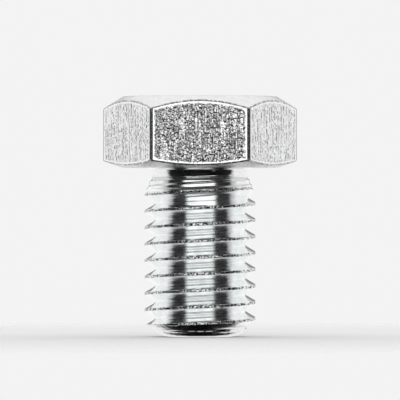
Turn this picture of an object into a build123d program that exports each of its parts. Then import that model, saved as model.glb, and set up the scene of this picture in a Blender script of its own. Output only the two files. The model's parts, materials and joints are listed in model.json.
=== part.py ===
from build123d import *
from math import ceil, radians, sin, sqrt, tan
import os

# Hex head bolt, M12 x 1.75 x 18, threaded up to the head: one steel forging with a rolled thread.
# Frame: origin at the centre of the bearing face, +Z up through the head, the shank along -Z.
# One wrench flat faces -Y, and two corners of the hexagon lie on the X axis.

# Driving dimensions of the head, in millimetres and degrees.
across_flats = 18.0         # wrench size
head_height = 7.6           # bearing face to the top of the head
corner_round = 0.45         # radius of the hexagon's six corners
top_inset = 0.8             # flats to the edge of the flat circle on top of the head
top_chamfer_angle = 32.0    # chamfer over the corners, up from the horizontal
bearing_inset = 0.7         # flats to the edge of the flat bearing circle
under_chamfer_angle = 19.0  # chamfer under the corners, up from the horizontal

# Driving dimensions of the shank.
nominal_d = 12.0            # nominal thread diameter
pitch = 1.75                # coarse pitch
thread_allowance = 0.15     # finished crests below the nominal diameter, inside the 6g zone
shank_length = 18.0         # bearing face to the tip
neck_fillet = 0.6           # fillet where the neck meets the bearing face
neck_length = 0.8           # bearing face to the start of the flare
neck_over_root = 0.3        # neck radius above the thread's root
flare_length = 2.1          # length over which the neck opens out to the crests
first_crest_depth = 2.5     # bearing face to the first crest, on the -Y side
run_out_length = 1.6        # length over which the last of the groove rises to nothing
tip_taper_length = 0.6      # taper from the crests down to the plain end
tip_plain_length = 0.1      # straight part of the plain end
tip_under_root = 0.06       # plain end's radius below the thread's root
tip_edge_height = 0.6       # height of the end's rounded edge
tip_edge_width = 1.6        # width of the end's rounded edge, along the radius

# The thread form follows from the pitch: a 60 degree groove with a rounded root.
flank_angle = 30.0                                    # each flank, from the plane across the axis
flank_slope = tan(radians(flank_angle))
crest_width = pitch / 7                               # flat land left on each crest
thread_depth = 0.63 * pitch                           # crest to root, along the radius
major_r = (nominal_d - thread_allowance) / 2
root_r = major_r - thread_depth
half_mouth = (pitch - crest_width) / 2                # half the groove's width at the crests
root_round = half_mouth / flank_slope - thread_depth  # circle that touches both flanks and the root

# Radii and heights that follow from the sizes above.
corner_r = across_flats / sqrt(3)                     # the hexagon's corners before rounding
top_r = across_flats / 2 - top_inset
bearing_r = across_flats / 2 - bearing_inset
top_drop = (corner_r - top_r) * tan(radians(top_chamfer_angle))
under_rise = (corner_r - bearing_r) * tan(radians(under_chamfer_angle))
neck_r = root_r + neck_over_root
flare_end_z = -neck_length - flare_length
tip_r = root_r - tip_under_root
tip_flat_r = tip_r - tip_edge_width
tip_edge_z = tip_edge_height - shank_length
tip_plain_z = tip_edge_z + tip_plain_length
tip_taper_z = tip_plain_z + tip_taper_length
tip_edge_round = (tip_edge_width**2 + tip_edge_height**2) / (2 * tip_edge_height)

# Clearances of the groove's cutting form around the metal.
lip = 0.04       # flanks carried past the crests
over_cut = 0.4   # the form's depth beyond the crests, and the run-out cone's depth below the root

# On the -Y side the groove runs half a pitch below the first crest, and it climbs a pitch a turn.
# It is cut one turn at a time, and the turns start a quarter turn further on, over +X.
groove_z = -first_crest_depth - pitch / 2 + pitch / 4
run_out_top_z = -first_crest_depth + pitch / 4
run_out_slope = thread_depth / run_out_length
upper_turns = 1 + ceil((run_out_length + half_mouth - pitch / 2) / pitch)
all_turns = 2 + int(shank_length / pitch)
turn_places = [(0, 0, groove_z - turn * pitch) for turn in range(all_turns)]

# The cutting form: one right-handed turn of the groove, its root at the origin's height.
with BuildPart() as groove_turn:
    with BuildLine() as groove_path:
        Helix(pitch, pitch, root_r)
    with BuildSketch(Plane(origin=(root_r, 0, 0), x_dir=(1, 0, 0), z_dir=(0, -1, 0))):
        with BuildLine():
            touch_x = root_round * (1 - sin(radians(flank_angle)))
            touch_y = (touch_x + root_round) * flank_slope
            lip_x = thread_depth + lip
            lip_y = half_mouth + lip * flank_slope
            back_x = thread_depth + over_cut
            Polyline(
                (touch_x, -touch_y),
                (lip_x, -lip_y),
                (back_x, -lip_y),
                (back_x, lip_y),
                (lip_x, lip_y),
                (touch_x, touch_y),
            )
            ThreePointArc((touch_x, touch_y), (0, 0), (touch_x, -touch_y))
        make_face()
    sweep(path=groove_path.line, is_frenet=True)

# The last turns towards the head: their floor climbs a cone until nothing is cut.
with BuildPart() as run_out:
    with Locations(*turn_places[:upper_turns]):
        add(groove_turn.part)
    with BuildSketch(Plane.XZ):
        with BuildLine():
            foot_r = root_r - over_cut
            foot_z = run_out_top_z - (major_r - foot_r) / run_out_slope
            rim_r = major_r + 2 * over_cut
            rim_z = run_out_top_z + (rim_r - major_r) / run_out_slope
            Polyline((0, foot_z), (foot_r, foot_z), (rim_r, rim_z), (rim_r, pitch), (0, pitch), close=True)
        make_face()
    revolve(axis=Axis.Z, mode=Mode.SUBTRACT)

# The bolt: a forged hexagon and a turned shank, with the groove taken out of the shank.
with BuildPart() as hex_bolt:
    with BuildSketch(Plane.XY):
        RegularPolygon(across_flats / 2, side_count=6, major_radius=False)
    extrude(amount=head_height)
    fillet(hex_bolt.edges().filter_by(Axis.Z), corner_round)
    # Both chamfers are cones, so they leave an arc at the top and at the bottom of every flat.
    with BuildSketch(Plane.XZ):
        with BuildLine():
            Polyline(
                (0, 0),
                (bearing_r, 0),
                (corner_r, under_rise),
                (corner_r, head_height - top_drop),
                (top_r, head_height),
                (0, head_height),
                close=True,
            )
        make_face()
    revolve(axis=Axis.Z, mode=Mode.INTERSECT)
    # The shank: fillet, neck, flare out to the crests, taper at the tip and plain rounded end.
    with BuildSketch(Plane.XZ):
        with BuildLine():
            Line((0, 0), (neck_r + neck_fillet, 0))
            RadiusArc((neck_r + neck_fillet, 0), (neck_r, -neck_fillet), -neck_fillet)
            Polyline(
                (neck_r, -neck_fillet),
                (neck_r, -neck_length),
                (major_r, flare_end_z),
                (major_r, tip_taper_z),
                (tip_r, tip_plain_z),
                (tip_r, tip_edge_z),
            )
            RadiusArc((tip_r, tip_edge_z), (tip_flat_r, -shank_length), tip_edge_round)
            Polyline((tip_flat_r, -shank_length), (0, -shank_length), (0, 0))
        make_face()
    revolve(axis=Axis.Z)
    with Locations(*turn_places[upper_turns:]):
        add(groove_turn.part, mode=Mode.SUBTRACT)
    add(run_out.part, mode=Mode.SUBTRACT)
hex_bolt.part.label = "hex_bolt"

os.makedirs("parts", exist_ok=True)
export_step(hex_bolt.part, "parts/hex_bolt.step")
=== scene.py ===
import json
import random
from math import asin, atan2, ceil, cos, hypot, pi, radians, sin, sqrt, tan

import bmesh
import bpy
from bpy.props import FloatProperty, FloatVectorProperty, IntProperty, PointerProperty
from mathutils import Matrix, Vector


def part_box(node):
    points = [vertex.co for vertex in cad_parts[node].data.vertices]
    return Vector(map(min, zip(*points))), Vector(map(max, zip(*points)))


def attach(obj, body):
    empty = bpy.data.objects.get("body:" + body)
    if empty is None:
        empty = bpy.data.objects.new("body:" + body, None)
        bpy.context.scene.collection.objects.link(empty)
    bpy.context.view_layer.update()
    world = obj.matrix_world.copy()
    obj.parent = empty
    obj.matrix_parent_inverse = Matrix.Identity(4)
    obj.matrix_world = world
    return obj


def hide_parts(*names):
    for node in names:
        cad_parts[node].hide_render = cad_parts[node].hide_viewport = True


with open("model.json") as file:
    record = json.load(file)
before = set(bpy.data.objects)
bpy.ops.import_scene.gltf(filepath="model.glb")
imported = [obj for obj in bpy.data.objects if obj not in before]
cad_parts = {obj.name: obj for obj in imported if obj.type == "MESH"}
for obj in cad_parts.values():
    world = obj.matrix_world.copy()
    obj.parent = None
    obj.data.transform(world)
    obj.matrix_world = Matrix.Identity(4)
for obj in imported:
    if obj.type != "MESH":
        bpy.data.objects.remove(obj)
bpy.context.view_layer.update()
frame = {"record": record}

bl_info = {
    "name": "Zinc Plated Hex Bolt",
    "version": (1, 0, 0),
    "blender": (4, 5, 0),
    "location": "3D View > Sidebar > Hex Bolt",
    "description": "Builds a zinc plated hex head bolt and the studio stage around it",
    "category": "Object",
}

# The frame: origin at the centre of the bearing face, +Z up through the head, the shank along -Z.
MM = 0.001
NODE = "hex_bolt"
BODY = "root"
PIECE = "zinc_plated_bolt"
BOX_LOW, BOX_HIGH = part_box(NODE)
THREAD_R = next(m["dims"]["r_mm"] for m in frame["record"]["mounts"] if m["name"] == "thread") * MM


def linear(hex_colour):
    """The linear RGBA colour of an sRGB hex value such as "C9CED0"."""
    channels = [int(hex_colour[i : i + 2], 16) / 255 for i in (0, 2, 4)]
    return (*[c / 12.92 if c <= 0.04045 else ((c + 0.055) / 1.055) ** 2.4 for c in channels], 1.0)


def length(name, description, default):
    """A length property, in metres."""
    return FloatProperty(
        name=name, description=description, default=default, min=0.0, precision=5, unit="LENGTH"
    )


def angle(name, description, degrees_default):
    """An angle property, given here in degrees."""
    return FloatProperty(
        name=name,
        description=description,
        default=radians(degrees_default),
        precision=2,
        unit="ROTATION",
    )


def colour(name, description, hex_default):
    """A colour property, given here as an sRGB hex value."""
    return FloatVectorProperty(
        name=name,
        description=description,
        default=linear(hex_default),
        size=4,
        min=0.0,
        max=1.0,
        subtype="COLOR",
    )


def strength(name, description, default):
    """The strength of a light, as a plain factor."""
    return FloatProperty(name=name, description=description, default=default, min=0.0, precision=3)


class HexBoltSizes(bpy.types.PropertyGroup):
    """The bolt's sizes. The outer ones and the thread's radius come from the frame."""

    across_flats: length("Across flats", "Wrench size", BOX_HIGH.y - BOX_LOW.y)
    head_height: length("Head height", "Bearing face to the top of the head", BOX_HIGH.z)
    corner_round: length("Corner round", "Radius of the hexagon's six corners", 0.45 * MM)
    top_inset: length("Top inset", "Flats to the edge of the flat circle on top", 0.8 * MM)
    top_chamfer: angle("Top chamfer", "Chamfer over the corners, up from the horizontal", 32.0)
    bearing_inset: length("Bearing inset", "Flats to the edge of the bearing circle", 0.7 * MM)
    under_chamfer: angle("Under chamfer", "Chamfer under the corners, up from the horizontal", 19.0)
    edge_round: length("Edge round", "How far the forged edges of the head are rounded back", 0.14 * MM)
    border: length("Burnished border", "Bright band the die leaves inside a flat's edges", 0.38 * MM)
    shank_length: length("Shank length", "Bearing face to the tip", -BOX_LOW.z)
    thread_radius: length("Thread radius", "Nominal thread radius", THREAD_R)
    thread_allowance: length("Thread allowance", "Finished crests below the nominal radius", 0.075 * MM)
    pitch: length("Pitch", "Thread pitch", 1.75 * MM)
    neck_fillet: length("Neck fillet", "Width of the fillet between neck and bearing face", 0.6 * MM)
    fillet_height: length("Fillet height", "Height of that fillet, which is flatter than round", 0.3 * MM)
    neck_length: length("Neck length", "Bearing face to the start of the flare", 0.8 * MM)
    neck_over_root: length("Neck over root", "Neck radius above the thread's root", 0.3 * MM)
    flare_length: length("Flare length", "Over which the neck opens out to the crests", 2.1 * MM)
    first_crest: length("First crest", "Bearing face to the first crest, on the -Y side", 2.5 * MM)
    run_out_length: length("Run-out", "Over which the end of the groove rises to nothing", 1.6 * MM)
    tip_taper: length("Tip taper", "Taper from the crests down to the plain end", 0.6 * MM)
    tip_plain: length("Tip plain", "Straight part of the plain end", 0.1 * MM)
    tip_under_root: length("Tip under root", "Plain end's radius below the thread's root", 0.06 * MM)
    tip_edge_height: length("Tip edge height", "Height of the end's rounded edge", 0.6 * MM)
    tip_edge_width: length("Tip edge width", "Width of the end's rounded edge", 1.6 * MM)
    undercut: length("Undercut", "How far the neck is drawn in at its narrowest", 0.16 * MM)
    undercut_depth: length("Undercut depth", "Bearing face to the neck's narrowest place", 0.95 * MM)
    seam_depth: length("Seam depth", "Seam that rolling leaves along the crest", 0.05 * MM)
    seam_wander: length("Seam wander", "How far the crest strays from a true helix", 0.018 * MM)
    seed: IntProperty(name="Seed", description="Picks another set of rolling marks", default=12)


class HexBoltFinish(bpy.types.PropertyGroup):
    """The bolt's colours, and the grain on its flats."""

    thread_zinc: colour("Thread zinc", "Bright blue-white zinc of the rolled thread", "FBFDFD")
    thread_shade: colour("Thread shade", "Slightly duller clouds in the thread's plating", "F0F3F3")
    head_zinc: colour("Head zinc", "Zinc on the forged head", "F3F3F3")
    head_shade: colour("Head shade", "Duller pits between the head's zinc grains", "E3E3E4")
    # Painted shade: the duller colour of the pits on the flats stands in for the shade that falls in them.
    pit_painted_shade: colour("Pit shade", "Slightly duller pits between the grains on the flats", "E8E8EA")
    seam_shade: colour("Seam shade", "Grime and shadow in the crest's seam", "3E3E40")
    # The grey painted as a line along the forged edges, and darker down the upright corners.
    edge_line_grey: colour("Edge shade", "Grey steel where a sharp edge has thin plating", "4E4E50")
    grain: length("Grain", "Size of the grains on the flats", 0.20 * MM)
    streak: length("Streak", "Width of the die's upright streaks on the flats", 0.22 * MM)
    grain_relief: length("Grain relief", "Height of the grains on the flats", 0.19 * MM)


class HexBoltStage(bpy.types.PropertyGroup):
    """The studio around the bolt."""

    backdrop: colour("Backdrop", "Pale paper behind the bolt", "F3F3F3")
    floor_radius: length("Floor radius", "Radius of the pale floor", 90.0 * MM)
    floor_lift: strength("Floor lift", "Light the paper passes from below", 0.12)
    view_width: length("View width", "Width the camera takes in at the bolt", 42.6439 * MM)
    aim_depth: length("Aim depth", "How far below the bearing face the camera aims", 3.44 * MM)
    lens: FloatProperty(
        name="Lens", description="Focal length in millimetres", default=600.0, min=50.0, unit="CAMERA"
    )
    window: strength("Window light", "Bright panel behind the camera", 1.3)
    glow: strength("Glow", "Dimmer paper above the bright panel", 0.15)
    below: strength("Light below", "Table in front of the bolt, below it", 0.12)
    overhead: strength("Overhead light", "Overhead panel", 1.0)
    sides: strength("Side light", "Bright paper at the sides and behind", 0.98)
    shade: strength("Shade behind", "Shaded paper straight behind the bolt", 0.2)
    dark: strength("Dark panels", "Dark panels that give the metal its contrast", 0.025)


# The mesh is rings of points, with one point for each column round the bolt.
SIDES = 6
COLUMNS_PER_CORNER = 6
COLUMNS_PER_FLAT = 34
COLUMNS = SIDES * (COLUMNS_PER_CORNER + COLUMNS_PER_FLAT)

# The head, from the top's centre to the bearing face.
TOP_RINGS = (0.12, 0.3, 0.5, 0.7, 0.88)  # rings on the flat top, as shares of its radius
FLAT_ROWS = 12  # rows between the upper and the lower border of a flat
EDGE_STEPS = 5  # rows round a forged edge
RIM_STEPS = 3  # rows round the edge of the top, and of the bearing face
TOP_CHAMFER_ROWS = 4
UNDER_CHAMFER_ROWS = 3
BEARING_RINGS = 7
BURNISH = "burnish"  # the mesh attribute that is 1 along a flat's edges
HOLDING = 0.12  # share of the border kept close to an edge, so that the flat shades flat

# The thread: a 60 degree form, worked out from its pitch.
FLANK_ANGLE = radians(30)
CRESTS_PER_PITCH = 7  # flat crests that would fill a pitch
DEPTH_PER_PITCH = 0.63
CREST_ROWS = (0.0, 0.25, 0.5, 0.85, 1.1)  # the rows from a crest's centre, as shares of half its width
FLANK_ROWS = (0.04, 0.2, 0.36, 0.52, 0.68, 0.84, 0.96)  # the rows down a flank, as shares of it
ROOT_STEPS = 6

# Rolling marks: a helical stair on the flare, and a ragged seam along the crest.
STEPS_PER_PITCH = 3  # stairs in one pitch
STEP_PHASE = 0.6  # where the stairs start, below a crest, as a share of one stair
TREAD_SHARE = 0.62  # upright part of one stair
RISER_EASE = 1.3  # above 1, a riser starts softly
STAIR_END = 0.12  # how far above the first crest's centre they end, as a share of the pitch
STAIR_FADE = 0.3  # share of a stair over which they fade in above that
RAGGED_OWN, RAGGED_BEFORE = 0.65, 0.175  # a point's own share of the raggedness, and the last two's
SEAM_SHAPE = 0.7  # below 1, the seam has steep sides
SEAM_MEAN = 0.55  # the seam's usual depth, as a share of its full depth
DRIFT_MEAN = 0.5  # the same for the crest's height
DRIFT_CENTRE = 0.3  # how much of that reaches the seam's own centre
SIDEWAYS = 0.8  # how far the crest's edges stray up and down, as a share of the wander
SIDEWAYS_CENTRE = 0.5  # how much of that reaches the seam's own centre
FULL_CREST = 0.75  # share of the thread's depth above which a crest is rolled full
NECK_END = 0.4  # share of the undercut's depth over which it ends below its narrowest place
NECK_FINISH = 0.5  # share of the flare, from its lower end, below which the thread's finish starts
CUT_BELOW_FILLET = 0.02  # where the helical band is cut off at the top, as a share of the neck's length
CUT_IN_PLAIN = 0.4  # where it is cut off at the tip, as a share of the tip's straight part

FILLET_STEPS = 8
TIP_STEPS = 10
TIP_RINGS = (0.7, 0.4, 0.15)  # rings on the end face, as shares of its radius

# Finishes, in the order of the piece's material slots.
FLAT, EDGE, CORNER, CHAMFER, BEARING, THREAD, CREST, NECK, TIP = range(9)


def bend(a, b, c, steps):
    """Points of a rounded corner from a to c, with b the sharp corner."""
    points = []
    for k in range(steps + 1):
        t = k / steps
        points.append(tuple((1 - t) ** 2 * a[i] + 2 * t * (1 - t) * b[i] + t * t * c[i] for i in range(2)))
    return points


def spread(a, b, steps):
    """Points evenly along the line from a to b, without either end."""
    return [tuple(a[i] + (b[i] - a[i]) * k / steps for i in range(2)) for k in range(1, steps)]


def hexagon_columns(s):
    """(angle, radius, on a corner, burnish) of the hexagon's outline at every column. A column on a
    corner starts a strip of the rounded corner, and burnish is 1 near a flat's upright edges and 0
    inside."""
    half = s.across_flats / 2
    centre = (half - s.corner_round) / cos(pi / SIDES)
    half_side = (half - s.corner_round) * tan(pi / SIDES)
    inner = COLUMNS_PER_FLAT - 4  # strips between the two borders
    holding = half_side - HOLDING * s.border
    inside = half_side - s.border
    columns = []
    for side in range(SIDES):
        corner = side * 2 * pi / SIDES
        for k in range(COLUMNS_PER_CORNER):
            turn = corner - pi / SIDES + 2 * pi / SIDES * k / COLUMNS_PER_CORNER
            x = centre * cos(corner) + s.corner_round * cos(turn)
            y = centre * sin(corner) + s.corner_round * sin(turn)
            columns.append((atan2(y, x), hypot(x, y), True, 1.0))
        normal = corner + pi / SIDES
        marks = [(-half_side, 1.0), (-holding, 1.0)]
        marks += [(-inside + 2 * inside * k / inner, 0.0) for k in range(inner + 1)]
        marks.append((holding, 1.0))
        for along, burnish in marks:
            x = half * cos(normal) - along * sin(normal)
            y = half * sin(normal) + along * cos(normal)
            columns.append((atan2(y, x), hypot(x, y), False, burnish))
    return columns


def head_profile(s, radius):
    """(radius, height, finish of the band below, burnish) down one column of the head, from the top to
    the bearing face."""
    half = s.across_flats / 2
    top_r, bearing_r = half - s.top_inset, half - s.bearing_inset
    e, top = s.edge_round, s.head_height
    cs, sn = cos(s.top_chamfer), sin(s.top_chamfer)
    cu, su = cos(s.under_chamfer), sin(s.under_chamfer)
    z_top = top - (radius - top_r) * tan(s.top_chamfer)
    z_low = (radius - bearing_r) * tan(s.under_chamfer)
    upper, lower = z_top - e - s.border, z_low + e + s.border
    rows = []

    def band(points, finish, burnish=1.0):
        rows.extend((r, z, finish, burnish) for r, z in points)

    band([(top_r * share, top) for share in TOP_RINGS], CHAMFER)
    start, end = (top_r + e * cs, top - e * sn), (radius - e * cs, z_top + e * sn)
    band(bend((top_r - e, top), (top_r, top), start, RIM_STEPS), CHAMFER)
    band(spread(start, end, TOP_CHAMFER_ROWS), CHAMFER)
    band(bend(end, (radius, z_top), (radius, z_top - e), EDGE_STEPS)[:-1], EDGE)
    band([(radius, z_top - e), (radius, z_top - e - HOLDING * s.border)], FLAT)
    band([(radius, upper + (lower - upper) * k / FLAT_ROWS) for k in range(FLAT_ROWS + 1)], FLAT, 0.0)
    band([(radius, z_low + e + HOLDING * s.border)], FLAT)
    start, end = (radius - e * cu, z_low - e * su), (bearing_r + e * cu, e * su)
    band(bend((radius, z_low + e), (radius, z_low), start, EDGE_STEPS)[:-1], EDGE)
    band([start, *spread(start, end, UNDER_CHAMFER_ROWS)], BEARING)
    band(bend(end, (bearing_r, 0.0), (bearing_r - e, 0.0), RIM_STEPS), BEARING)
    return rows


class Shank:
    """The shank's radii and heights, worked out from the sizes."""

    def __init__(self, s):
        self.s = s
        self.pitch = s.pitch
        self.crest = s.pitch / CRESTS_PER_PITCH
        self.depth = DEPTH_PER_PITCH * s.pitch
        self.slope = tan(FLANK_ANGLE)
        self.major_r = s.thread_radius - s.thread_allowance
        self.root_r = self.major_r - self.depth
        self.half_mouth = (s.pitch - self.crest) / 2
        self.root_round = self.half_mouth / self.slope - self.depth
        self.neck_r = self.root_r + s.neck_over_root
        self.flare_z = -s.neck_length - s.flare_length
        self.tip_r = self.root_r - s.tip_under_root
        self.edge_z = s.tip_edge_height - s.shank_length
        self.plain_z = self.edge_z + s.tip_plain
        self.taper_z = self.plain_z + s.tip_taper

    def groove(self, below):
        """Radius of the thread form, that far below a crest's centre and less than a pitch."""
        off = abs(below - self.pitch / 2)
        touch = self.root_round * (1 - sin(FLANK_ANGLE))
        touch_off = (touch + self.root_round) * self.slope
        if off < touch_off:
            return self.root_r + self.root_round - sqrt(self.root_round**2 - off**2)
        return min(self.major_r, self.root_r - self.root_round + off / self.slope)

    def envelope(self, z):
        """Radius of the blank at a height: neck, flare, crests, taper and plain end."""
        if z > -self.s.neck_length:
            return self.neck_r
        if z > self.flare_z:
            share = (-self.s.neck_length - z) / self.s.flare_length
            return self.neck_r + (self.major_r - self.neck_r) * share
        if z > self.taper_z:
            return self.major_r
        if z > self.plain_z:
            return self.tip_r + (self.major_r - self.tip_r) * (z - self.plain_z) / self.s.tip_taper
        return self.tip_r

    def floor(self, z):
        """Radius of the cone that the groove's floor climbs at the run-out."""
        run_out_z = -self.s.first_crest + self.pitch / 4
        return self.major_r - (run_out_z - z) * self.depth / self.s.run_out_length

    def stepped(self, z, below):
        """Height whose blank radius the flare has at z. Rolling leaves it as a helical stair, with
        near-upright treads and short risers."""
        low = -self.s.first_crest + STAIR_END * self.pitch
        if not low < z < -self.s.neck_length:
            return z
        step = self.pitch / STEPS_PER_PITCH
        share = (below / step - STEP_PHASE) % 1
        ease = max(0.0, (share - TREAD_SHARE) / (1 - TREAD_SHARE)) ** RISER_EASE
        fade = min(1.0, (z - low) / (STAIR_FADE * step))
        return z + fade * step * (share - ease)

    def drawn_in(self, z):
        """How far the neck is drawn in: evenly down to its narrowest place, and then soon no more."""
        s = self.s
        if z > -s.undercut_depth:
            share = (-z - s.fillet_height) / (s.undercut_depth - s.fillet_height)
        else:
            share = 1 - (-z - s.undercut_depth) / (NECK_END * s.undercut_depth)
        return s.undercut * max(0.0, share)

    def radius(self, z, below):
        """Radius of the shank at a height that is that far below a crest's centre."""
        blank = self.envelope(self.stepped(z, below))
        return min(blank, max(self.groove(below), self.floor(z))) - self.drawn_in(z)


def thread_rows(k):
    """(distance below the crest's centre, is on the crest) of the mesh rows in one pitch."""
    seam = [share * k.crest / 2 for share in CREST_ROWS]
    shoulder = seam[-1]
    foot_off = (k.root_round * (1 - sin(FLANK_ANGLE)) + k.root_round) * k.slope
    foot = k.pitch / 2 - foot_off
    flank = [shoulder + (foot - shoulder) * share for share in FLANK_ROWS]
    root = [foot + 2 * foot_off * n / ROOT_STEPS for n in range(ROOT_STEPS + 1)]
    rows = [(u, True) for u in seam] + [(u, False) for u in flank + root]
    rows += [(k.pitch - u, False) for u in reversed(flank)]
    rows += [(k.pitch - u, True) for u in reversed(seam[1:])]
    return rows


def helical_band(bm, k, top_z, low_z):
    """The neck, flare and thread as one helical band of faces, cut square at both ends. Returns its two
    end rings."""
    s = k.s
    rng = random.Random(s.seed)
    rows = thread_rows(k)
    per = len(rows)
    first = -ceil((top_z + s.first_crest) / s.pitch + 1)
    last = ceil((-low_z - s.first_crest) / s.pitch) + 2
    # Rolling leaves the crest a little ragged: random steps along the helix, partly smoothed.
    count = (last - first + 1) * COLUMNS + 4
    rough = [rng.uniform(-1, 1) for _ in range(count)]
    ragged = [
        rough[i] * RAGGED_OWN + (rough[i - 1] + rough[i - 2]) * RAGGED_BEFORE for i in range(count)
    ]
    drift = [rng.uniform(-1, 1) for _ in range(count)]
    grid = []
    for turn in range(first, last):
        for below, on_crest in rows:
            ring = []
            for c in range(COLUMNS):
                along = (turn - first) * COLUMNS + (COLUMNS - c)
                z = -s.first_crest + s.pitch * (c / COLUMNS - turn) - below
                r = k.radius(z, below)
                off = min(below, s.pitch - below)
                if on_crest and r > k.root_r + FULL_CREST * k.depth:
                    seam = max(0.0, 1 - off / (k.crest / 2)) ** SEAM_SHAPE
                    r -= s.seam_depth * seam * (SEAM_MEAN + (1 - SEAM_MEAN) * ragged[along])
                    drifted = DRIFT_MEAN + (1 - DRIFT_MEAN) * drift[along]
                    r -= s.seam_wander * drifted * (1 if off else DRIFT_CENTRE)
                    strayed = SIDEWAYS * ragged[along - 1] * (1 if below < s.pitch / 2 else -1)
                    z -= s.seam_wander * strayed * (1 if off else SIDEWAYS_CENTRE)
                turn_angle = -pi / 2 + 2 * pi * c / COLUMNS
                ring.append(bm.verts.new((r * cos(turn_angle), r * sin(turn_angle), z)))
            grid.append((ring, on_crest))
    for n in range(len(grid) - 1):
        finish = CREST if grid[n][1] and grid[n + 1][1] else THREAD
        for c in range(COLUMNS):
            if c + 1 < COLUMNS:
                right = (grid[n][0][c + 1], grid[n + 1][0][c + 1])
            elif n >= per:
                right = (grid[n - per][0][0], grid[n + 1 - per][0][0])
            else:
                continue
            face = bm.faces.new((grid[n][0][c], grid[n + 1][0][c], right[1], right[0]))
            middle = face.calc_center_median().z
            if middle > k.flare_z + NECK_FINISH * s.flare_length:
                face.material_index = NECK
            elif middle < k.taper_z:
                face.material_index = TIP
            else:
                face.material_index = finish
    rings = []
    for height, side in ((top_z, 1), (low_z, -1)):
        everything = bm.verts[:] + bm.edges[:] + bm.faces[:]
        cut = bmesh.ops.bisect_plane(
            bm, geom=everything, plane_co=(0, 0, height), plane_no=(0, 0, side), clear_outer=True
        )["geom_cut"]
        ring = [v for v in cut if isinstance(v, bmesh.types.BMVert)]
        rings.append(sorted(ring, key=lambda v: atan2(v.co.y, v.co.x)))
    return rings


def add_ring(bm, columns, radii, heights):
    """One ring of vertices, one at each column's angle."""
    return [bm.verts.new((r * cos(a), r * sin(a), z)) for a, r, z in zip(columns, radii, heights)]


def join_rings(bm, upper, lower, finishes):
    """Faces between two rings with the same columns, facing outwards when upper is above lower."""
    for c in range(len(upper)):
        d = (c + 1) % len(upper)
        face = bm.faces.new((upper[c], lower[c], lower[d], upper[d]))
        face.material_index = finishes[c]


def fan(bm, ring, z, finish, upwards):
    """Closes a ring with a fan of triangles round its centre."""
    centre = bm.verts.new((0, 0, z))
    for c in range(len(ring)):
        pair = (ring[c], ring[(c + 1) % len(ring)])
        face = bm.faces.new((centre, *pair) if upwards else (centre, *reversed(pair)))
        face.material_index = finish


def zip_rings(bm, upper, lower, finish):
    """Triangles between two rings whose columns don't match, going round both by angle."""

    def turned(ring):
        return sorted(((atan2(v.co.y, v.co.x), v) for v in ring), key=lambda pair: pair[0])

    a, b = turned(upper), turned(lower)
    i = j = 0
    while i < len(a) or j < len(b):
        here_a, here_b = a[i % len(a)][1], b[j % len(b)][1]
        next_a = a[(i + 1) % len(a)][0] + 2 * pi * ((i + 1) // len(a))
        next_b = b[(j + 1) % len(b)][0] + 2 * pi * ((j + 1) // len(b))
        if j >= len(b) or (i < len(a) and next_a <= next_b):
            face = bm.faces.new((here_a, here_b, a[(i + 1) % len(a)][1]))
            i += 1
        else:
            face = bm.faces.new((here_a, here_b, b[(j + 1) % len(b)][1]))
            j += 1
        face.material_index = finish


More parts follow.
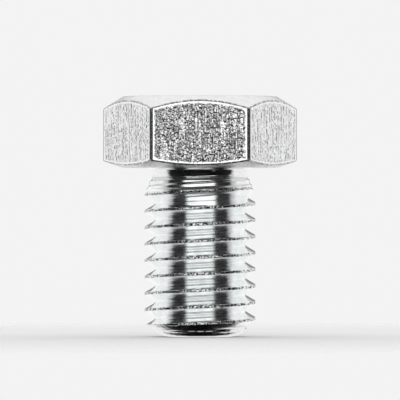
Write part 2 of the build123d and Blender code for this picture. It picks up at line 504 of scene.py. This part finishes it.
def build_bolt_mesh(s):
    """The bolt's one closed mesh: head, bearing face, neck, thread and tip."""
    k = Shank(s)
    bm = bmesh.new()
    burnish = bm.verts.layers.float.new(BURNISH)
    upper_cut = -s.fillet_height - CUT_BELOW_FILLET * s.neck_length
    lower_cut = k.plain_z - CUT_IN_PLAIN * s.tip_plain
    upper_loop, lower_loop = helical_band(bm, k, upper_cut, lower_cut)

    # Head: the same columns all the way down, then evened out across the bearing face.
    columns = hexagon_columns(s)
    start = columns[0][0]
    angles = [start + (column[0] - start) % (2 * pi) for column in columns]
    profiles = [head_profile(s, column[1]) for column in columns]
    rings = []
    for rows in zip(*profiles):
        ring = add_ring(bm, angles, [row[0] for row in rows], [row[1] for row in rows])
        for vertex, row, column in zip(ring, rows, columns):
            vertex[burnish] = max(row[3], column[3])
        if rings:
            on_corner = [above[2] == FLAT and column[2] for above, column in zip(last_rows, columns)]
            finishes = [CORNER if corner else above[2] for corner, above in zip(on_corner, last_rows)]
            join_rings(bm, rings[-1], ring, finishes)
        rings.append(ring)
        last_rows = rows
    fan(bm, rings[0], s.head_height, CHAMFER, True)

    # Bearing face and fillet.
    last = rings[-1]
    edge_r = s.across_flats / 2 - s.bearing_inset - s.edge_round
    foot_r = k.neck_r + s.neck_fillet
    for n in range(1, BEARING_RINGS + 1):
        share = n / BEARING_RINGS
        even = [a + ((start + 2 * pi * c / COLUMNS) - a) * share for c, a in enumerate(angles)]
        r = edge_r + (foot_r - edge_r) * share
        ring = add_ring(bm, even, [r] * COLUMNS, [0.0] * COLUMNS)
        join_rings(bm, last, ring, [BEARING] * COLUMNS)
        last = ring
    for n in range(1, FILLET_STEPS + 1):
        t = pi / 2 * n / FILLET_STEPS
        r, z = foot_r - s.neck_fillet * sin(t), -s.fillet_height * (1 - cos(t))
        r -= k.drawn_in(z)
        ring = add_ring(bm, even, [r] * COLUMNS, [z] * COLUMNS)
        join_rings(bm, last, ring, [NECK] * COLUMNS)
        last = ring
    zip_rings(bm, last, upper_loop, NECK)

    # Tip: plain end, rounded edge and end face.
    last = add_ring(bm, even, [k.tip_r] * COLUMNS, [k.edge_z] * COLUMNS)
    zip_rings(bm, lower_loop, last, TIP)
    edge_round = (s.tip_edge_width**2 + s.tip_edge_height**2) / (2 * s.tip_edge_height)
    flat_r = k.tip_r - s.tip_edge_width
    reach = asin(s.tip_edge_width / edge_round)
    for n in range(1, TIP_STEPS + 1):
        t = reach * (1 - n / TIP_STEPS)
        r = flat_r + edge_round * sin(t)
        z = -s.shank_length + edge_round * (1 - cos(t))
        ring = add_ring(bm, even, [r] * COLUMNS, [z] * COLUMNS)
        join_rings(bm, last, ring, [TIP] * COLUMNS)
        last = ring
    for share in TIP_RINGS:
        ring = add_ring(bm, even, [flat_r * share] * COLUMNS, [-s.shank_length] * COLUMNS)
        join_rings(bm, last, ring, [TIP] * COLUMNS)
        last = ring
    fan(bm, last, -s.shank_length, TIP, False)

    open_edges = sum(1 for e in bm.edges if len(e.link_faces) != 2)
    if open_edges:
        raise RuntimeError(f"the bolt's mesh has {open_edges} open edges")
    mesh = bpy.data.meshes.new(PIECE)
    bm.to_mesh(mesh)
    bm.free()
    mesh.shade_smooth()
    return mesh


# Materials. The bolt is one steel forging under one coat of clear bright zinc, and each way of working
# the steel left its own surface. Zinc is a metal, so each finish is fully metallic with the default IOR.
BORDER_LINE = (0.42, 0.62)  # burnish at which the grain starts to fade, and at which it is gone
BORDER_RAG = 0.35  # how far the line between grain and border strays, in burnish
RAG_SIZE = 0.22 * MM
GRAIN_ROUGHNESS = 0.02  # what the grain adds to a flat's roughness
GRAIN_STRETCH = (1.3, 1.3, 1.2)
STREAK_STRETCH = (1, 1, 14)
PIT_STRETCH = (1, 1, 2.2)


def node(tree, kind, inputs=(), **settings):
    """Adds a node with its settings, and sets or links its inputs. A node given as an input is linked by
    its first output."""
    made = tree.nodes.new(kind)
    for name, value in settings.items():
        setattr(made, name, value)
    sockets = {socket.identifier: socket for socket in made.inputs}
    for key, value in dict(inputs).items():
        socket = made.inputs[key] if isinstance(key, int) else sockets[key]
        if isinstance(value, bpy.types.Node):
            value = value.outputs[0]
        if isinstance(value, bpy.types.NodeSocket):
            tree.links.new(value, socket)
        else:
            socket.default_value = value
    return made


def mottled(tree, size, low=0.0, high=1.0, clouds=(0.35, 0.65), stretch=(1, 1, 1), detail=2.0):
    """Soft lumps about size metres across, stretched along each axis. They go from low to high, and clouds
    are the levels of the plain noise at which they get there."""
    place = node(tree, "ShaderNodeTexCoord").outputs["Object"]
    scale = tuple(1 / (size * share) for share in stretch)
    mapped = node(tree, "ShaderNodeMapping", {"Vector": place, "Scale": scale})
    lumps = node(
        tree, "ShaderNodeTexNoise", {"Vector": mapped, "Scale": 1.0, "Detail": detail, "Roughness": 0.5}
    )
    levels = {"From Min": clouds[0], "From Max": clouds[1], "To Min": low, "To Max": high}
    return node(tree, "ShaderNodeMapRange", {"Value": lumps, **levels})


def metal(name, light, dark, surface, depth):
    """A zinc plated surface. surface(tree) gives its tone, from 0 for dark to 1 for light, its roughness
    and its relief, and depth is how high the relief stands."""
    material = bpy.data.materials.new(name)
    material.use_nodes = True
    tree = material.node_tree
    tree.nodes.clear()
    tone, roughness, relief = surface(tree)
    colours = {"Factor_Float": tone, "A_Color": tuple(dark), "B_Color": tuple(light)}
    bump = node(tree, "ShaderNodeBump", {"Strength": 1.0, "Distance": depth, "Height": relief})
    look = {
        "Base Color": node(tree, "ShaderNodeMix", colours, data_type="RGBA").outputs[2],
        "Metallic": 1.0,
        "Roughness": roughness,
        "Normal": bump,
    }
    node(tree, "ShaderNodeOutputMaterial", {"Surface": node(tree, "ShaderNodeBsdfPrincipled", look)})
    return material


def grained_flat(finish):
    """The surface of the flats: upright grain in the middle, and a smooth burnished border."""

    def surface(tree):
        # matt is 1 on the grain and 0 on the border, with a ragged line between them.
        edge = node(tree, "ShaderNodeAttribute", attribute_name=BURNISH).outputs["Fac"]
        ragged = mottled(tree, RAG_SIZE, -BORDER_RAG, BORDER_RAG, clouds=(0.3, 0.7))
        line = node(tree, "ShaderNodeMath", {0: edge, 1: ragged}, operation="ADD")
        levels = {"From Min": BORDER_LINE[0], "From Max": BORDER_LINE[1], "To Min": 1.0, "To Max": 0.0}
        matt = node(tree, "ShaderNodeMapRange", {"Value": line, **levels})

        # Upright streaks make the grains stand higher in some places than in others.
        grains = mottled(tree, finish.grain, clouds=(0.0, 1.0), stretch=GRAIN_STRETCH, detail=0.5)
        streaks = mottled(tree, finish.streak, 0.7, 1.3, stretch=STREAK_STRETCH, detail=0.0)
        relief = node(tree, "ShaderNodeMath", {0: grains, 1: streaks}, operation="MULTIPLY")
        relief = node(tree, "ShaderNodeMath", {0: relief, 1: matt}, operation="MULTIPLY")

        # The pits are a little duller than the grains: painted shade, for the shade that falls in them. The
        # border has none.
        pits = mottled(tree, finish.grain, -0.1, 1.1, stretch=PIT_STRETCH)
        clean = node(tree, "ShaderNodeMath", {0: 1.0, 1: matt}, operation="SUBTRACT")
        tone = node(tree, "ShaderNodeMath", {0: pits, 1: clean}, operation="MAXIMUM")
        rough = {0: matt, 1: GRAIN_ROUGHNESS, 2: mottled(tree, 0.4 * MM, 0.06, 0.10)}
        return tone, node(tree, "ShaderNodeMath", rough, operation="MULTIPLY_ADD"), relief

    return surface


def plain_surface(tone, roughness, relief):
    """A surface whose tone, roughness and relief are each one mottled pattern."""

    def surface(tree):
        plain = {"clouds": (0.0, 1.0)}
        return mottled(tree, **tone), mottled(tree, **roughness), mottled(tree, **{**plain, **relief})

    return surface


def bolt_materials(f):
    """The bolt's finishes, in the order of the finish numbers."""
    return [
        # Cold forged flats: the die leaves a fine upright grain, which glitters black and white where it
        # faces a light, and looks an even pale grey from the side. Its pits are painted a little duller, as
        # painted shade. The real grain is a few hundredths of a millimetre, too fine to see here, so it is
        # drawn coarser.
        metal("zinc_over_forged_steel", f.head_zinc, f.pit_painted_shade, grained_flat(f), f.grain_relief),
        # Forged edges: a thin broken grey line is painted along them.
        metal(
            "grey_lined_forged_edges",
            f.head_zinc,
            f.edge_line_grey,
            plain_surface(
                tone={"size": 0.18 * MM, "low": 0.1, "high": 0.9, "detail": 1.0},
                roughness={"size": 0.3 * MM, "low": 0.2, "high": 0.3},
                relief={"size": 0.2 * MM},
            ),
            0.03 * MM,
        ),
        # Upright corners: the sharpest edges, with a dark grey line painted down each one.
        metal(
            "dark_lined_forged_corners",
            f.head_zinc,
            f.edge_line_grey,
            plain_surface(
                tone={"size": 0.18 * MM, "low": 0.0, "high": 0.22, "detail": 1.0},
                roughness={"size": 0.3 * MM, "low": 0.2, "high": 0.3},
                relief={"size": 0.2 * MM},
            ),
            0.03 * MM,
        ),
        # Top and chamfer: pressed smooth by the die and satin under the zinc, so they mirror the light
        # softly.
        metal(
            "zinc_over_pressed_chamfer",
            f.head_zinc,
            f.head_shade,
            plain_surface(
                tone={"size": 0.6 * MM, "low": 0.5, "high": 1.0},
                roughness={"size": 0.5 * MM, "low": 0.32, "high": 0.45},
                relief={"size": 0.35 * MM},
            ),
            0.015 * MM,
        ),
        # Bearing face: pressed against the die, a little brighter and more even than the top.
        metal(
            "zinc_over_pressed_bearing_face",
            f.head_zinc,
            f.head_shade,
            plain_surface(
                tone={"size": 0.4 * MM, "low": 0.3, "high": 1.0},
                roughness={"size": 0.4 * MM, "low": 0.25, "high": 0.4},
                relief={"size": 0.3 * MM},
            ),
            0.02 * MM,
        ),
        # Rolled thread: the rollers polish the flanks, so they carry sharp bright and dark bands, and the
        # thin clear zinc over such a polish looks faintly blue.
        metal(
            "bright_zinc_over_rolled_thread",
            f.thread_zinc,
            f.thread_shade,
            plain_surface(
                tone={"size": 1.2 * MM, "low": 0.0, "high": 1.0},
                roughness={"size": 0.6 * MM, "low": 0.13, "high": 0.19},
                relief={"size": 0.5 * MM},
            ),
            0.002 * MM,
        ),
        # Crest seam: the steel that two flanks push up never quite closes, which leaves a line of bright
        # specks and black pits along each crest; the black is painted shadow and grime in the seam. The
        # specks are drawn coarser than they are, to show at all.
        metal(
            "zinc_over_rolled_crest_seam",
            f.head_zinc,
            f.seam_shade,
            plain_surface(
                tone={"size": 0.17 * MM, "clouds": (0.44, 0.54), "detail": 1.0},
                roughness={"size": 0.25 * MM, "low": 0.15, "high": 0.3},
                relief={"size": 0.2 * MM, "detail": 1.0},
            ),
            0.05 * MM,
        ),
        # Neck and flare: drawn down in the die, with faint marks round the shank and nearly mirror bright.
        metal(
            "zinc_over_drawn_neck",
            f.head_zinc,
            f.head_shade,
            plain_surface(
                tone={"size": 0.4 * MM, "low": 0.3, "high": 1.0, "stretch": (3, 3, 0.3)},
                roughness={"size": 0.4 * MM, "low": 0.08, "high": 0.14},
                relief={"size": 0.3 * MM, "stretch": (6, 6, 0.7)},
            ),
            0.015 * MM,
        ),
        # Tip: sheared off the bar and upset, so its edge is bright and slightly lumpy.
        metal(
            "zinc_over_sheared_and_upset_tip",
            f.head_zinc,
            f.head_shade,
            plain_surface(
                tone={"size": 0.3 * MM, "low": 0.2, "high": 1.0},
                roughness={"size": 0.4 * MM, "low": 0.12, "high": 0.22},
                relief={"size": 0.35 * MM, "stretch": (1.6, 1.6, 0.8)},
            ),
            0.03 * MM,
        ),
    ]


# Stage. The zinc has no colour of its own to show, so the panels around it give the bolt its contrast.
FLOOR_SEGMENTS = 96
FADE_START = 0.35  # where the floor starts to fade, as a share of its radius


def studio_light(stage):
    """World light: a bright panel behind the camera, dark panels beside it, bright paper overhead, at the
    sides and behind. The camera itself sees plain pale paper."""
    world = bpy.data.worlds.new("studio")
    bpy.context.scene.world = world
    world.use_nodes = True
    tree = world.node_tree
    tree.nodes.clear()

    def panel(light, *edges):
        """A patch of light within soft edges. An edge takes an angle from low to high degrees, and the
        light's share from at_low to at_high."""
        for value, low, high, at_low, at_high in edges:
            angles = {"From Min": radians(low), "From Max": radians(high)}
            levels = {"Value": value, **angles, "To Min": at_low, "To Max": at_high}
            edge = node(tree, "ShaderNodeMapRange", levels, interpolation_type="SMOOTHSTEP")
            light = node(tree, "ShaderNodeMath", {0: light, 1: edge}, operation="MULTIPLY")
        return light

    def shaded(light, patch):
        """The light with a patch taken off it, all of it where the patch is 1."""
        left = node(tree, "ShaderNodeMath", {0: 1.0, 1: patch}, operation="SUBTRACT")
        return node(tree, "ShaderNodeMath", {0: light, 1: left}, operation="MULTIPLY")

    # Directions: across is the angle round from straight in front of the bolt, either way, and up is how
    # far above the level.
    direction = node(tree, "ShaderNodeTexCoord").outputs["Generated"]
    x, y, z = node(tree, "ShaderNodeSeparateXYZ", {0: direction}).outputs
    front = node(tree, "ShaderNodeMath", {0: y, 1: -1.0}, operation="MULTIPLY")
    turn = node(tree, "ShaderNodeMath", {0: x, 1: front}, operation="ARCTAN2")
    across = node(tree, "ShaderNodeMath", {0: turn}, operation="ABSOLUTE")
    up = node(tree, "ShaderNodeMath", {0: z}, operation="ARCSINE")
    off_level = node(tree, "ShaderNodeMath", {0: up}, operation="ABSOLUTE")

    # The bright paper starts beside the bolt, further round below and nearer the front above.
    paper_start = across
    for shift in (
        panel(radians(-17), (up, -30, -8, 1, 0)),
        panel(radians(24), (up, 38, 46, 0, 1)),
    ):
        paper_start = node(tree, "ShaderNodeMath", {0: paper_start, 1: shift}, operation="ADD")
    paper = panel(
        stage.sides,
        (paper_start, 72, 82, 0, 1),
        (across, 84, 100, 0.6, 1),
        (up, -66, -56, 0, 1),
    )
    behind = panel(
        1 - stage.shade / stage.sides,
        (across, 160, 172, 0, 1),
        (up, -3, 2, 0, 1),
        (up, 20, 35, 1, 0),
    )
    under = panel(1.0, (across, 138, 158, 0, 1), (up, -40, -28, 1, 0))
    light = shaded(shaded(paper, behind), under)

    ahead = (across, 31, 41, 1, 0)
    for patch in (
        panel(stage.window, ahead, (off_level, 12, 18, 1, 0)),
        panel(stage.glow, ahead, (up, 0, 10, 0, 1)),
        panel(stage.overhead, (up, 41, 47, 0, 1)),
        panel(stage.below, (across, 50, 70, 1, 0), (up, -46, -40, 1, 0), (up, -68, -62, 0, 1)),
        panel(stage.dark, (up, -26, -17, 0.15, 1)),
    ):
        light = node(tree, "ShaderNodeMath", {0: light, 1: patch}, operation="MAXIMUM")
    studio = node(tree, "ShaderNodeBackground", {"Color": light, "Strength": 1.0})
    backdrop = node(tree, "ShaderNodeBackground", {"Color": tuple(stage.backdrop), "Strength": 1.0})
    seen = node(tree, "ShaderNodeLightPath").outputs["Is Camera Ray"]
    shown = node(tree, "ShaderNodeMixShader", {0: seen, 1: studio, 2: backdrop})
    node(tree, "ShaderNodeOutputWorld", {"Surface": shown})


def paper_floor(stage, z):
    """A pale paper disc under the tip, matt white, whose rim fades into the backdrop. The bolt doesn't
    mirror it, because the studio light has its own paper all round."""
    bm = bmesh.new()
    bmesh.ops.create_circle(bm, cap_ends=True, segments=FLOOR_SEGMENTS, radius=stage.floor_radius)
    mesh = bpy.data.meshes.new("paper_floor")
    bm.to_mesh(mesh)
    bm.free()
    floor = bpy.data.objects.new("paper_floor", mesh)
    floor.location.z = z
    bpy.context.scene.collection.objects.link(floor)
    floor.visible_glossy = False
    material = bpy.data.materials.new("matt_white_paper")
    material.use_nodes = True
    tree = material.node_tree
    tree.nodes.clear()
    place = node(tree, "ShaderNodeTexCoord").outputs["Object"]
    out = node(tree, "ShaderNodeVectorMath", {0: place}, operation="LENGTH").outputs["Value"]
    rim = {"From Min": FADE_START * stage.floor_radius, "From Max": stage.floor_radius}
    edge = node(tree, "ShaderNodeMapRange", {"Value": out, **rim}, interpolation_type="SMOOTHSTEP")
    pale = tuple(stage.backdrop)
    white = node(tree, "ShaderNodeBsdfDiffuse", {"Color": pale})
    lit = node(tree, "ShaderNodeEmission", {"Color": pale, "Strength": stage.floor_lift})
    paper = node(tree, "ShaderNodeAddShader", {0: white, 1: lit})
    clear = node(tree, "ShaderNodeBsdfTransparent")
    mixed = node(tree, "ShaderNodeMixShader", {0: edge, 1: paper, 2: clear})
    node(tree, "ShaderNodeOutputMaterial", {"Surface": mixed})
    floor.data.materials.append(material)


def studio_camera(stage):
    """A long lens in front of the middle flat, level with the upper shank."""
    data = bpy.data.cameras.new("camera")
    data.lens = stage.lens
    camera = bpy.data.objects.new("camera", data)
    bpy.context.scene.collection.objects.link(camera)
    distance = stage.view_width * data.lens / data.sensor_width
    camera.location = (0, -distance, -stage.aim_depth)
    camera.rotation_euler = (radians(90), 0, 0)
    data.clip_start, data.clip_end = 0.1 * distance, 10 * distance
    bpy.context.scene.camera = camera


class HEXBOLT_OT_make_bolt(bpy.types.Operator):
    """Build the bolt's mesh and finishes in place of the plain frame part"""

    bl_idname = "hexbolt.make_bolt"
    bl_label = "Make Bolt"

    def execute(self, context):
        mesh = build_bolt_mesh(context.scene.hexbolt_sizes)
        for material in bolt_materials(context.scene.hexbolt_finish):
            mesh.materials.append(material)
        bolt = bpy.data.objects.new(PIECE, mesh)
        context.scene.collection.objects.link(bolt)
        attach(bolt, BODY)
        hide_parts(NODE)
        return {"FINISHED"}


class HEXBOLT_OT_make_stage(bpy.types.Operator):
    """Build the paper floor, the studio light and the camera"""

    bl_idname = "hexbolt.make_stage"
    bl_label = "Make Stage"

    def execute(self, context):
        stage = context.scene.hexbolt_stage
        studio_light(stage)
        paper_floor(stage, BOX_LOW.z)
        studio_camera(stage)
        context.scene.view_settings.view_transform = "Standard"
        return {"FINISHED"}


class HEXBOLT_PT_panel(bpy.types.Panel):
    """Sizes, colours and the steps that build the bolt"""

    bl_idname = "HEXBOLT_PT_panel"
    bl_label = "Hex Bolt"
    bl_space_type = "VIEW_3D"
    bl_region_type = "UI"
    bl_category = "Hex Bolt"

    def draw(self, context):
        for title, group in GROUPS.items():
            self.layout.label(text=title)
            settings = getattr(context.scene, group)
            for name in settings.__annotations__:
                self.layout.prop(settings, name)
        for operator in OPERATORS:
            self.layout.operator(operator.bl_idname)


GROUPS = {"Sizes": "hexbolt_sizes", "Finish": "hexbolt_finish", "Stage": "hexbolt_stage"}
OPERATORS = (HEXBOLT_OT_make_bolt, HEXBOLT_OT_make_stage)
CLASSES = (HexBoltSizes, HexBoltFinish, HexBoltStage, *OPERATORS, HEXBOLT_PT_panel)


def register():
    """Registers the classes, and puts their settings on the scene."""
    for cls in CLASSES:
        bpy.utils.register_class(cls)
    bpy.types.Scene.hexbolt_sizes = PointerProperty(type=HexBoltSizes)
    bpy.types.Scene.hexbolt_finish = PointerProperty(type=HexBoltFinish)
    bpy.types.Scene.hexbolt_stage = PointerProperty(type=HexBoltStage)


def unregister():
    """Takes away what register adds."""
    for group in GROUPS.values():
        delattr(bpy.types.Scene, group)
    for cls in reversed(CLASSES):
        bpy.utils.unregister_class(cls)


def main():
    """Builds the bolt and its stage."""
    register()
    bpy.ops.hexbolt.make_bolt()
    bpy.ops.hexbolt.make_stage()


if __name__ == "__main__":
    main()
